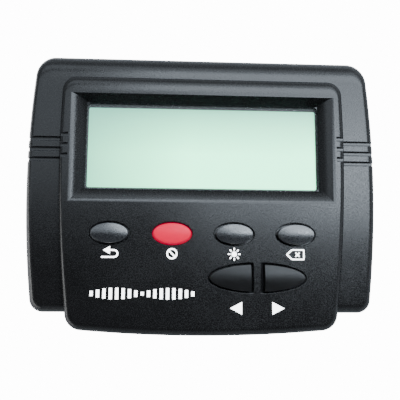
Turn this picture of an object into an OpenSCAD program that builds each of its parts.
// Desktop caller ID box with call-block keys: a wedge case with a tilted display and keypad.
// Row frame: +X right, +Y to the back, +Z up, origin on the table under the middle of the case.
// The face frame has x across, s up the slope from the front lip and n out of the face.

/* [Case] */
// Tilt of the face from the table, degrees
tilt = 18; // [14:1:20]
// Half of the case's greatest width, across both wings
wing_half = 58; // [57:0.5:60]
// Length of the face from the front lip to the back edge
face_len = 93.4; // [92:0.2:95]
// Height of the wings' surface above the table at the front lip
lip_z = 10.2; // [10.2:0.2:12]
// Height of the raised panel above the wings
panel_rise = 2.5; // [2.2:0.1:3]
// Depth of the top shell's skirt below the wings' surface
skirt = 7; // [6.6:0.2:7.4]
// Wall thickness of both shells
wall = 2; // [1.8:0.1:2.2]

/* [Display] */
// Half width of the window opening
window_half = 38.8; // [36:0.2:39]
// Where the window starts and ends up the slope
window_s = [46.9, 76.1]; // [40:0.1:80]
// Half width of the sloped surround at the panel's surface
surround_half = 42.7; // [42:0.1:43]
// Where the surround starts and ends up the slope
surround_s = [42.2, 78.6]; // [40:0.1:80]

/* [Keys] */
// Spacing of the four oval keys
key_pitch = 19.9; // [19.4:0.1:20.2]
// Place of the oval keys up the slope
key_s = 32.2; // [31.5:0.1:33]
// Half length and half height of an oval key's hole
key_hole = [6.4, 3.65]; // [3:0.05:7]
// Middle of the two scroll keys, across and up the slope
scroll_at = [17.4, 18.3]; // [16:0.1:19]
// Half length and half height of the ellipse that both scroll keys share
scroll_hole = [15.75, 4.75]; // [4:0.05:16]
// Gap between a key and its hole
key_gap = 0.45; // [0.4:0.05:0.55]
// Travel of a key
key_travel = 1.2; // [0.8:0.1:1.2]

/* [Power and line] */
// Diameter of an AAA cell
cell_d = 10.5; // [10:0.1:10.5]
// Length of an AAA cell with its nub
cell_len = 44.5; // [44:0.1:44.5]
// Middle of the two modular jacks, across
jack_x = [19.5, 35.5]; // [19.5:0.1:35.5]

/* [Hidden] */
eps = 0.01;

// Place of the face frame's origin, which puts the case's bounding box over the origin
lip_y = -45.34;
foot_h = 1.2;
floor_t = 2;
back_y = lip_y + face_len * cos(tilt) + skirt * sin(tilt);
inner_back_y = back_y - wall;

// Side arcs: radius, and the place of the greatest width up the slope
wing_arc_r = 340;
wing_arc_s = 53.6;
wing_front_s = 7.1;
wing_front_r = 4.5;
wing_back_r = 7;
panel_half = 47.15;
panel_arc_r = 430;
panel_arc_s = 62.6;
panel_back_s = 84.2;
panel_back_r = 4.5;
panel_front_r = 5.5;
lip_arc_r = 450;

// Levels along n
window_top_n = -1.2;
window_under_n = -2.2;
lens_t = 1;
glass_n = -3.5;
glass_t = 1.1;
board_n = -8.4;
board_t = 1.6;
mat_t = 1;
dome_top_n = -5.4;
key_edge_n = panel_rise + 1.2;
key_top_n = panel_rise + 2.4;

// Levels along z
shelf_z = 14.2;
line_board_z = 5;
line_board_t = 1.6;
jack_z = line_board_z + line_board_t;

key_x = [for (i = [0:3]) (i - 1.5) * key_pitch];
scroll_web = 1.33;
scroll_gap = 0.9;
scroll_stem = 7.4;
stem_r = 1.6;

// Battery bay, inside: low and high corners across and along y
bay_x = [-43, 9];
bay_y = [8.2, 41.4];
bay_wall = 1.4;
cell_y = [for (i = [0:2]) bay_y[0] + 5.7 + i * 10.9];
cell_z = foot_h + floor_t + 0.3 + cell_d / 2;
door_t = 1.5;
door_rebate = 0.8;
door_gap = 0.4;
tab_x = [-34, 0];

screw_front = [49.5, -26, 5.2];
screw_back = [51.8, 18, 17];
screw_seats = [for (p = [screw_front, screw_back], side = [-1, 1]) [side * p[0], p[1], p[2]]];
board_screw_at = [[-41, 40.2], [41, 40.2], [-38, 17], [38, 17]];
line_screw_at = [[15, -4.5], [41, -4.5], [41, 24]];
foot_at = [[-36, -34.5], [36, -34.5], [-48.5, 37], [48.5, 37]];
foot_r = 4.5;

// ---- frames and outlines ----

module face() {
    translate([0, lip_y, lip_z]) rotate([tilt, 0, 0]) children();
}

module slab(low, high) {
    translate([0, 0, low]) linear_extrude(high - low) children();
}

function arc_pts(c, r, a0, a1, steps) =
    [for (i = [0:steps]) let (a = a0 + (a1 - a0) * i / steps) c + r * [cos(a), sin(a)]];

function mirrored(pts) =
    concat(pts, [for (i = [len(pts) - 1:-1:0]) if (abs(pts[i][0]) > eps) [-pts[i][0], pts[i][1]]]);

function angle_of(v) = atan2(v[1], v[0]);

// Meeting point of two circles that lies to the right of the line from a to b
function meet(a, ra, b, rb) =
    let (d = norm(b - a), u = (b - a) / d, t = (d * d + ra * ra - rb * rb) / (2 * d))
    a + t * u + sqrt(ra * ra - t * t) * [u[1], -u[0]];

// Both wings and the band behind the panel: bowed sides, straight ends, round corners
function wing_pts(d = 0, back = 0) =
    let (
        side = [wing_half - wing_arc_r, wing_arc_s],
        end_s = face_len - back,
        rf = wing_front_r,
        rb = wing_back_r,
        sf = wing_front_s + rf - wing_arc_s,
        sb = end_s - rb - wing_arc_s,
        cf = [side[0] + sqrt(pow(wing_arc_r - rf, 2) - sf * sf), wing_front_s + rf],
        cb = [side[0] + sqrt(pow(wing_arc_r - rb, 2) - sb * sb), end_s - rb],
        af = angle_of(cf - side),
        ab = angle_of(cb - side)
    )
    mirrored(concat(
        arc_pts(cf, rf - d, -90, af, 6),
        arc_pts(side, wing_arc_r - d, af + 1, ab - 1, 12),
        arc_pts(cb, rb - d, ab, 90, 6)
    ));

// The raised panel with its front lip: bowed sides, bowed front edge, round corners
function panel_pts(d = 0, back = 0) =
    let (
        side = [panel_half - panel_arc_r, panel_arc_s],
        front = [0, lip_arc_r],
        rf = panel_front_r,
        rb = panel_back_r,
        end_s = panel_back_s - back,
        cf = meet(side, panel_arc_r - rf, front, lip_arc_r - rf),
        sb = end_s - rb - panel_arc_s,
        cb = [side[0] + sqrt(pow(panel_arc_r - rb, 2) - sb * sb), end_s - rb],
        ac = angle_of(cf - front),
        af = angle_of(cf - side),
        ab = angle_of(cb - side)
    )
    mirrored(concat(
        arc_pts(front, lip_arc_r - d, -90, ac, 6),
        arc_pts(cf, rf - d, ac, af, 6),
        arc_pts(side, panel_arc_r - d, af + 1, ab - 1, 10),
        arc_pts(cb, rb - d, ab, 90, 6)
    ));

module case_outline(d = 0) {
    polygon(wing_pts(d));
    polygon(panel_pts(d));
}

// One thin slice of a rounded top: c is [n, inset, extra inset at the back]
module slice(c, of_panel) {
    slab(c[0] - eps, c[0]) polygon(of_panel ? panel_pts(c[1], c[2]) : wing_pts(c[1], c[2]));
}

module rounded_stack(slices, of_panel = false) {
    for (i = [0:len(slices) - 2]) hull() {
        slice(slices[i], of_panel);
        slice(slices[i + 1], of_panel);
    }
}

function ellipse_pts(a, b, steps = 48) = [for (i = [0:steps - 1]) [a * cos(i * 360 / steps), b * sin(i * 360 / steps)]];

// Half of the scroll ellipse, cut off at the web between the two keys
module half_ellipse(side, a, b, web) {
    n = 30;
    start = acos(web / a);
    polygon([for (i = [0:n]) let (t = -start + 2 * start * i / n) [side * a * cos(t), b * sin(t)]]);
}

module rod(a, b, r) {
    v = b - a;
    translate(a) rotate([0, acos(v[2] / norm(v)), atan2(v[1], v[0])]) cylinder(r = r, h = norm(v), $fn = 24);
}

// ---- top shell ----

wing_slices = [[0, 3, 4], [-0.5, 1.34, 3.1], [-1.6, 0.35, 2.1], [-3.2, 0.06, 1.1], [-skirt + eps, 0, 0]];
wing_inner = [[-wall, 3, 5], [-wall - 1.6, wall, 3], [-skirt - 1, wall, wall]];
panel_slices = [[panel_rise, 1.6, 3.2], [panel_rise - 0.4, 0.6, 2], [panel_rise - 1.3, 0.05, 0.9], [-skirt + eps, 0, 0]];
panel_inner = [[panel_rise - wall, wall + 0.4, wall + 2], [-skirt - 1, wall, wall]];
groove_w = 1.35;
groove_pitch = 3.43;
groove_depth = 0.8;
wing_groove_s = 63.3;
panel_groove_s = 64.2;

module surround(grow, low, high) {
    hull() {
        slab(low, low + eps) window_rect(grow);
        slab(high, high + eps) translate([-surround_half - grow, surround_s[0] - grow])
            square([2 * (surround_half + grow), surround_s[1] - surround_s[0] + 2 * grow]);
    }
}

module window_rect(grow = 0) {
    translate([-window_half - grow, window_s[0] - grow])
        square([2 * (window_half + grow), window_s[1] - window_s[0] + 2 * grow]);
}

// Three slots across each wing and three short ones in the panel's edges
module grooves() {
    for (side = [-1, 1], i = [0:2]) {
        s = wing_groove_s - i * groove_pitch;
        translate([side * 52.6 - 5.6, s - groove_w / 2, -groove_depth]) cube([11.2, groove_w, 2]);
        translate([side * 58 - 0.75, s - groove_w / 2, -skirt + 1.5]) cube([1.5, groove_w, 6]);
        translate([side * 46.1 - 2, panel_groove_s - i * groove_pitch - groove_w / 2, panel_rise - groove_depth])
            cube([4, groove_w, 2]);
    }
}

module key_holes() {
    for (x = key_x) translate([x, key_s, -2]) linear_extrude(6) polygon(ellipse_pts(key_hole[0], key_hole[1]));
    for (side = [-1, 1]) translate([scroll_at[0], scroll_at[1], -2])
        linear_extrude(6) half_ellipse(side, scroll_hole[0], scroll_hole[1], scroll_web);
}

module top_boss(p) {
    intersection() {
        difference() {
            translate([p[0], p[1], p[2] + 2]) cylinder(r = 3.2, h = 30, $fn = 32);
            translate([p[0], p[1], p[2]]) cylinder(r = 1.2, h = 9.5, $fn = 24);
        }
        face() translate([-60, 0, -40]) cube([120, 100, 40 - wall / 2]);
    }
}

module top_case() {
    color([0.09, 0.09, 0.1]) {
        face() {
            difference() {
                union() {
                    difference() {
                        union() {
                            rounded_stack(wing_slices);
                            rounded_stack(panel_slices, true);
                        }
                        rounded_stack(wing_inner);
                        rounded_stack(panel_inner, true);
                    }
                    surround(wall - 0.4, window_under_n, panel_rise - 1);
                }
                surround(0, window_top_n, panel_rise);
                slab(window_under_n - 1, panel_rise) window_rect();
                key_holes();
                grooves();
            }
            for (p = board_screw_at) translate([p[0], p[1], board_n]) difference() {
                cylinder(r = 2.4, h = -board_n + panel_rise - wall + 0.5, $fn = 32);
                translate([0, 0, -1]) cylinder(r = 0.9, h = 7, $fn = 24);
            }
        }
        for (p = screw_seats) top_boss(p);
    }
}

// ---- bottom shell ----

module above(z) {
    translate([-70, -70, z]) cube([140, 70 + back_y, 60]);
}

module bottom_tub() {
    difference() {
        intersection() {
            face() slab(-60, -skirt) case_outline();
            above(foot_h);
        }
        intersection() {
            face() slab(-59, -skirt + 1) case_outline(wall);
            translate([-70, -70, foot_h + floor_t]) cube([140, 70 + inner_back_y, 60]);
        }
    }
}

// Lip inside the top shell's skirt
module bottom_lip() {
    intersection() {
        face() difference() {
            union() {
                slab(-skirt - 2, -skirt) case_outline(1);
                slab(-skirt - eps, -skirt + 1.5) case_outline(wall + 0.1);
            }
            slab(-skirt - 3, -skirt + 2) case_outline(wall + 1.1);
        }
        above(foot_h);
    }
}

module bay_block() {
    translate([bay_x[0] - bay_wall, bay_y[0] - bay_wall, foot_h])
        cube([bay_x[1] - bay_x[0] + 2 * bay_wall, inner_back_y + eps - bay_y[0] + bay_wall, shelf_z + 1.2 - foot_h]);
}

module bay_space() {
    translate([bay_x[0], bay_y[0], -1]) cube([bay_x[1] - bay_x[0], bay_y[1] - bay_y[0], shelf_z + 1]);
    translate([bay_x[0] - door_rebate, bay_y[0] - door_rebate, -1])
        cube([bay_x[1] - bay_x[0] + 2 * door_rebate, bay_y[1] - bay_y[0] + 2 * door_rebate, foot_h + door_t + 1.1]);
    for (x = tab_x) translate([x - 4.5, bay_y[0] - bay_wall - 1, foot_h + floor_t])
        cube([9, bay_wall + 2.6, 2.2]);
    for (x = tab_x) translate([x - 4.5, bay_y[0] - door_rebate, foot_h + door_t])
        cube([9, 2, 2]);
}

module bottom_case() {
    color([0.09, 0.09, 0.1]) difference() {
        union() {
            bottom_tub();
            bottom_lip();
            bay_block();
            for (p = screw_seats) translate([p[0], p[1], foot_h]) cylinder(r = 4, h = p[2] + 2 - foot_h, $fn = 40);
            for (p = line_screw_at) translate([p[0], p[1], foot_h]) cylinder(r = 2.5, h = line_board_z - foot_h, $fn = 32);
        }
        bay_space();
        for (p = screw_seats) {
            translate([p[0], p[1], -1]) cylinder(r = 2.9, h = p[2] + 1, $fn = 32);
            translate([p[0], p[1], -1]) cylinder(r = 1.4, h = 40, $fn = 24);
        }
        for (p = line_screw_at) translate([p[0], p[1], foot_h + 1]) cylinder(r = 0.9, h = 10, $fn = 24);
        for (p = foot_at) translate([p[0], p[1], 0]) cylinder(r = foot_r + 0.1, h = foot_h + 0.5, $fn = 40);
        for (x = jack_x) translate([x - jack_w / 2 - 0.1, inner_back_y - 1, jack_z - 0.1])
            cube([jack_w + 0.2, wall + 2, jack_h + 0.2]);
    }
}

module battery_door() {
    low = [bay_x[0] - door_rebate + door_gap, bay_y[0] - door_rebate + door_gap];
    high = [bay_x[1] + door_rebate - door_gap, bay_y[1] + door_rebate - door_gap];
    latch_x = (low[0] + high[0]) / 2;
    color([0.09, 0.09, 0.1]) {
        difference() {
            translate([low[0], low[1], foot_h]) cube([high[0] - low[0], high[1] - low[1], door_t]);
            for (i = [0:3]) translate([latch_x - 6, high[1] - 8 + i * 1.6, foot_h - 1]) cube([12, 0.7, 1.4]);
            for (side = [-1, 1]) translate([latch_x + side * 7.5 - 0.4, high[1] - 7, foot_h - 1]) cube([0.8, 8, 4]);
        }
        for (x = tab_x) {
            translate([x - 4, low[1], foot_h + door_t - eps]) cube([8, 1.3, 1.5]);
            translate([x - 4, low[1] - 1.7, foot_h + floor_t + 0.15]) cube([8, 3, 0.85]);
        }
    }
}

module case_screws() {
    color([0.35, 0.35, 0.37]) for (p = screw_seats) translate([p[0], p[1], p[2]]) difference() {
        union() {
            translate([0, 0, -1.8]) cylinder(r = 2.6, h = 1.8, $fn = 32);
            translate([0, 0, -eps]) cylinder(r = 1.15, h = 9, $fn = 24);
        }
        for (a = [0, 90]) rotate([0, 0, a]) translate([-1.5, -0.3, -2]) cube([3, 0.6, 1.2]);
    }
}

module foot(i) {
    color([0.12, 0.12, 0.12]) translate([foot_at[i][0], foot_at[i][1], 0])
        rotate_extrude($fn = 48) polygon([[0, 0], [foot_r - 0.4, 0], [foot_r, 0.4], [foot_r, foot_h + 0.5], [0, foot_h + 0.5]]);
}

// ---- display ----

glass_x = 41.3;
glass_s = [45.4, 77.9];
ledge = 2.2;

module plate(half, s, low, high) {
    face() translate([-half, s[0], low]) cube([2 * half, s[1] - s[0], high - low]);
}

module lcd_window() {
    color([0.8, 0.9, 0.85, 0.4]) plate(40.8, [45.2, 77.8], window_under_n - lens_t, window_under_n);
}

module lcd_front_glass() {
    color([0.72, 0.85, 0.78]) plate(glass_x, glass_s, glass_n - glass_t, glass_n);
}

module lcd_rear_glass() {
    color([0.7, 0.84, 0.76]) plate(glass_x, [glass_s[0] + ledge, glass_s[1] - ledge], glass_n - 2 * glass_t, glass_n - glass_t);
}

module lcd_backlight() {
    color([0.9, 0.95, 0.9]) plate(40, [glass_s[0] + ledge + 0.3, glass_s[1] - ledge - 0.3], board_n + 0.2, glass_n - 2 * glass_t);
}

module zebra_strips() {
    color([0.75, 0.75, 0.75]) for (s = [glass_s[0] + 0.2, glass_s[1] - 1.8])
        plate(38, [s, s + 1.6], board_n, glass_n - glass_t);
}

module lcd_holder() {
    color([0.88, 0.88, 0.86]) face() translate([0, 0, board_n]) linear_extrude(glass_n - board_n) difference() {
        translate([-43, glass_s[0] - 1.3]) square([86, glass_s[1] - glass_s[0] + 2.6]);
        translate([-glass_x - 0.1, glass_s[0] - 0.1]) square([2 * glass_x + 0.2, glass_s[1] - glass_s[0] + 0.2]);
    }
}

module display_board() {
    color([0.1, 0.35, 0.2]) face() difference() {
        translate([-43.5, 13, board_n - board_t]) cube([87, 68, board_t]);
        for (p = board_screw_at) translate([p[0], p[1], board_n - 3]) cylinder(r = 1.2, h = 6, $fn = 24);
        for (side = [-1, 1]) translate([side * 43.5 - 4, 77, board_n - 3]) cube([8, 8, 6]);
    }
}

module board_screws() {
    color([0.75, 0.75, 0.77]) face() for (p = board_screw_at) translate([p[0], p[1], board_n - board_t]) difference() {
        union() {
            translate([0, 0, -1.3]) cylinder(r = 2, h = 1.3, $fn = 32);
            translate([0, 0, -eps]) cylinder(r = 0.85, h = 6.5, $fn = 24);
        }
        for (a = [0, 90]) rotate([0, 0, a]) translate([-1.2, -0.25, -1.5]) cube([2.4, 0.5, 0.9]);
    }
}

// ---- keys ----

key_size = [key_hole[0] - key_gap, key_hole[1] - key_gap];
flange_t = 1;
flange_top_n = panel_rise - wall - 0.2;

module key_stem() {
    translate([0, 0, dome_top_n]) cylinder(r = stem_r, h = flange_top_n - flange_t / 2 - dome_top_n, $fn = 32);
}

// Crowned oval cap on a flange that can't pass the hole
module oval_key(i) {
    a = key_size[0];
    b = key_size[1];
    face() translate([key_x[i], key_s, 0]) {
        hull() for (c = [[key_edge_n, 0], [key_edge_n + 0.5, 0.35], [key_top_n - 0.3, 1.3], [key_top_n, 2.4]])
            slab(c[0] - eps, c[0]) polygon(ellipse_pts(a - c[1] * 1.35, b - c[1], 36));
        slab(flange_top_n - eps, key_edge_n) polygon(ellipse_pts(a, b));
        slab(flange_top_n - flange_t, flange_top_n) polygon(ellipse_pts(key_hole[0] + 0.7, key_hole[1] + 0.7));
        key_stem();
    }
}

// Crowned half-oval cap, flat where it faces its twin
module scroll_key(side) {
    a = scroll_hole[0] - key_gap;
    b = scroll_hole[1] - key_gap;
    web = scroll_web + scroll_gap;
    face() translate([scroll_at[0], scroll_at[1], 0]) {
        hull() for (c = [[key_edge_n, 0], [key_edge_n + 0.45, 0.35], [key_top_n - 0.5, 1.3], [key_top_n - 0.3, 2.2]])
            slab(c[0] - eps, c[0]) half_ellipse(side, a - c[1] * 1.6, b - c[1], web + c[1] * 0.5);
        slab(flange_top_n - eps, key_edge_n) half_ellipse(side, a, b, web);
        slab(flange_top_n - flange_t, flange_top_n)
            half_ellipse(side, scroll_hole[0] + 0.7, scroll_hole[1] + 0.7, scroll_web - 0.7);
        translate([side * scroll_stem, 0, 0]) key_stem();
    }
}

dome_at = concat(
    [for (x = key_x) [x, key_s]],
    [for (side = [-1, 1]) [scroll_at[0] + side * scroll_stem, scroll_at[1]]]
);
dome_low_n = board_n + mat_t;
dome_hole_r = 3;

// Rubber cone that springs a key back
module dome(i) {
    h = dome_top_n - dome_low_n;
    color([0.75, 0.78, 0.8]) face() translate([dome_at[i][0], dome_at[i][1], dome_low_n])
        rotate_extrude($fn = 48) polygon([
            [0, h - 0.5], [1.9, h - 0.5], [dome_hole_r, 0], [dome_hole_r + 0.6, 0], [2.4, h - 0.2], [2.2, h], [0, h]
        ]);
}

// Carbon contact under the dome's crown
module pill(i) {
    color([0.1, 0.1, 0.1]) face() translate([dome_at[i][0], dome_at[i][1], board_n + key_travel + 0.1])
        cylinder(r = 1.5, h = dome_top_n - 0.5 - board_n - key_travel - 0.1, $fn = 32);
}

module keypad_mat() {
    color([0.75, 0.78, 0.8]) face() difference() {
        slab(board_n, board_n + mat_t) {
            translate([-36.5, key_s - 5.5]) square([73, 11]);
            translate([scroll_at[0] - 14, 13.6]) square([28, 16]);
        }
        for (p = dome_at) translate([p[0], p[1], board_n - 1]) cylinder(r = dome_hole_r, h = 4, $fn = 32);
    }
}

// ---- electronics ----

// Parts under the display board hang from its lower face
module under_board(x, s) {
    face() translate([x, s, board_n - board_t]) mirror([0, 0, 1]) children();
}

module main_chip() {
    color([0.05, 0.05, 0.05]) under_board(28, 62) {
        translate([-7, -7, 0.2]) cube([14, 14, 2]);
        for (a = [0:90:270], i = [-5:5]) rotate([0, 0, a]) translate([i * 1.1 - 0.2, 7 - eps, 0]) cube([0.4, 1.4, 0.9]);
    }
}

module memory_chip() {
    color([0.05, 0.05, 0.05]) under_board(-8, 34) {
        translate([-2, -2.5, 0.2]) cube([4, 5, 1.5]);
        for (side = [-1, 1], i = [-1.5:1.5]) translate([side * 2.5 - 0.55, i * 1.27 - 0.2, 0]) cube([1.1, 0.4, 0.8]);
    }
}

module crystal() {
    color([0.75, 0.75, 0.78]) under_board(10, 40) {
        translate([-3.5, -2, 0]) cube([7, 4, 3.2]);
        for (side = [-1, 1]) translate([side * 3.5, 0, 0]) cylinder(r = 2, h = 3.2, $fn = 32);
    }
}

module chip_resistors() {
    color([0.12, 0.12, 0.13]) for (i = [0:5]) under_board(-32 + i * 3.6, 40)
        translate([-0.8, -1.25, 0]) cube([1.6, 2.5, 0.7]);
}

module line_board() {
    color([0.55, 0.42, 0.2]) difference() {
        translate([11.6, -8, line_board_z]) cube([33, 50.6, line_board_t]);
        for (p = line_screw_at) translate([p[0], p[1], 0]) cylinder(r = 1.2, h = 10, $fn = 24);
    }
}

module line_board_screws() {
    color([0.75, 0.75, 0.77]) for (p = line_screw_at) translate([p[0], p[1], line_board_z + line_board_t]) difference() {
        union() {
            cylinder(r = 2, h = 1.3, $fn = 32);
            translate([0, 0, -4]) cylinder(r = 0.85, h = 4 + eps, $fn = 24);
        }
        for (a = [0, 90]) rotate([0, 0, a]) translate([-1.2, -0.25, 0.6]) cube([2.4, 0.5, 0.9]);
    }
}

jack_w = 13.2;
jack_h = 12.7;
jack_len = 16;
socket_w = 9.8;
socket_h = 7;
socket_len = 12;
socket_z = jack_z + 3.2;

// Six-way modular jack: plug socket with a latch keyway below it
module jack(x) {
    color([0.1, 0.1, 0.11]) difference() {
        translate([x - jack_w / 2, back_y - jack_len, jack_z]) cube([jack_w, jack_len, jack_h]);
        translate([x - socket_w / 2, back_y - socket_len, socket_z]) cube([socket_w, socket_len + 1, socket_h]);
        translate([x - 3.1, back_y - socket_len, socket_z - 1.8]) cube([6.2, socket_len + 1, 2]);
        translate([x - 1.6, back_y - 2.5, socket_z - 2.6]) cube([3.2, 3.5, 1.2]);
    }
}

// Four sprung wires that lie under the socket's roof and slope down to the front
module jack_contacts(x) {
    roof = socket_z + socket_h - 0.05;
    color([0.85, 0.65, 0.25]) for (i = [-1.5:1.5]) translate([x + i * 1.02 - 0.23, 0, 0])
        rotate([90, 0, 90]) linear_extrude(0.46) polygon([
            [back_y - 2.6, roof], [back_y - socket_len + 0.4, roof], [back_y - socket_len + 0.4, roof - 1.6],
            [back_y - socket_len + 0.9, roof - 1.6], [back_y - 2.6, roof - 0.5]
        ]);
}

module line_relay() {
    color([0.15, 0.3, 0.6]) translate([28, 15.5, jack_z]) cube([10, 9.5, 9]);
}

module film_capacitor() {
    color([0.7, 0.25, 0.12]) translate([14, 16, jack_z]) cube([12, 5, 8.5]);
}

module electrolytic_capacitors() {
    color([0.1, 0.15, 0.35]) for (x = [20, 26.5]) translate([x, 8, jack_z]) cylinder(r = 2.5, h = 7, $fn = 40);
}

module bridge_rectifier() {
    color([0.08, 0.08, 0.08]) translate([31, 5, jack_z]) {
        translate([0, 0, 0.4]) cube([8, 6.4, 3]);
        for (x = [1.5, 6.5], y = [-0.4, 6]) translate([x - 0.3, y, 0]) cube([0.6, 0.8, 1]);
    }
}

// Flat cable from the line board up to the display board, bowed forward
module ribbon_cable() {
    end_n = board_n - board_t;
    low = [1, jack_z];
    high = [lip_y + 45 * cos(tilt) - end_n * sin(tilt), lip_z + 45 * sin(tilt) + end_n * cos(tilt)];
    steps = 12;
    bow = 3.2;
    t = 0.6;
    path = [for (i = [0:steps]) let (u = i / steps) low + (high - low) * u + [-bow * sin(180 * u), 0]];
    color([0.6, 0.6, 0.62]) translate([18, 0, 0]) rotate([90, 0, 90]) linear_extrude(12)
        polygon(concat(path, [for (i = [steps:-1:0]) path[i] + [t, 0]]));
}

// Insulated lead that runs along the bay wall and round to the line board
module battery_lead(pts) {
    r = 0.6;
    for (i = [0:len(pts) - 2]) rod(pts[i], pts[i + 1], r);
    for (p = pts) translate(p) sphere(r = r * 1.04, $fn = 24);
}

lead_y = bay_y[0] - bay_wall - 0.9;

module battery_lead_red() {
    color([0.75, 0.1, 0.08]) battery_lead([
        [-41, lead_y, 8.5], [8, lead_y, 8.5], [13.5, lead_y - 4, 8.5], [13.5, lead_y - 4, jack_z + 0.6]
    ]);
}

module battery_lead_black() {
    color([0.06, 0.06, 0.06]) battery_lead([
        [7, lead_y, 11.5], [12, lead_y - 1.5, 11.5], [14.5, lead_y + 1.5, 10], [14.5, lead_y + 1.5, jack_z + 0.6]
    ]);
}

// ---- battery contacts and cells ----

cell_x0 = bay_x[0] + 5.4;
contact_t = 0.4;
coil_wire_r = 0.35;
coil_turns = 4;
coil_steps = 14;
coil_sides = 6;

function coil_centre(i) =
    let (u = i / (coil_turns * coil_steps), a = 360 * i / coil_steps, r = 4 - 1.7 * u)
    [bay_x[0] + contact_t + coil_wire_r + u * (cell_x0 - bay_x[0] - contact_t - 2 * coil_wire_r), r * cos(a), r * sin(a)];

// Conical coil spring, swept as rings of points square to the cell's axis
module coil_spring() {
    count = coil_turns * coil_steps;
    pts = [for (i = [0:count], k = [0:coil_sides - 1])
        let (a = 360 * i / coil_steps, b = 360 * k / coil_sides, c = coil_centre(i))
        c + coil_wire_r * [cos(b), sin(b) * cos(a), sin(b) * sin(a)]];
    sides = [for (i = [0:count - 1], k = [0:coil_sides - 1]) let (m = (k + 1) % coil_sides)
        [i * coil_sides + k, i * coil_sides + m, (i + 1) * coil_sides + m, (i + 1) * coil_sides + k]];
    ends = [[for (k = [coil_sides - 1:-1:0]) k], [for (k = [0:coil_sides - 1]) count * coil_sides + k]];
    polyhedron(pts, concat(sides, ends));
}

module battery_springs() {
    color([0.8, 0.8, 0.82]) for (y = cell_y) translate([0, y, cell_z]) coil_spring();
}

module battery_plates() {
    color([0.8, 0.8, 0.82]) for (y = cell_y) {
        translate([bay_x[0], y - 4.8, cell_z - 4.8]) cube([contact_t, 9.6, 9.6]);
        translate([bay_x[1] - contact_t, y - 4.8, cell_z - 4.8]) cube([contact_t, 9.6, 9.6]);
    }
}

module cell(i) {
    nub = 0.9;
    color([0.75, 0.6, 0.2]) translate([cell_x0, cell_y[i], cell_z]) rotate([0, 90, 0]) {
        cylinder(r = cell_d / 2, h = cell_len - nub, $fn = 64);
        cylinder(r = 1.8, h = cell_len, $fn = 32);
    }
}

top_case();
bottom_case();
battery_door();
lcd_window();
lcd_front_glass();
lcd_rear_glass();
lcd_backlight();
lcd_holder();
zebra_strips();
display_board();
board_screws();
color([0.12, 0.12, 0.13]) oval_key(0);  // key_back
color([0.9, 0.15, 0.25]) oval_key(1);  // key_block
color([0.12, 0.12, 0.13]) oval_key(2);  // key_bright
color([0.12, 0.12, 0.13]) oval_key(3);  // key_delete
color([0.12, 0.12, 0.13]) scroll_key(-1);  // key_left
color([0.12, 0.12, 0.13]) scroll_key(1);  // key_right
dome(0);  // dome_back
dome(1);  // dome_block
dome(2);  // dome_bright
dome(3);  // dome_delete
dome(4);  // dome_left
dome(5);  // dome_right
pill(0);  // pill_back
pill(1);  // pill_block
pill(2);  // pill_bright
pill(3);  // pill_delete
pill(4);  // pill_left
pill(5);  // pill_right
keypad_mat();
main_chip();
memory_chip();
crystal();
chip_resistors();
line_board();
line_board_screws();
jack(jack_x[0]);  // line_jack
jack(jack_x[1]);  // phone_jack
jack_contacts(jack_x[0]);  // line_jack_contacts
jack_contacts(jack_x[1]);  // phone_jack_contacts
line_relay();
film_capacitor();
electrolytic_capacitors();
bridge_rectifier();
ribbon_cable();
battery_lead_red();
battery_lead_black();
battery_springs();
battery_plates();
cell(0);  // cell_front
cell(1);  // cell_middle
cell(2);  // cell_back
case_screws();
foot(0);  // foot_front_left
foot(1);  // foot_front_right
foot(2);  // foot_back_left
foot(3);  // foot_back_right
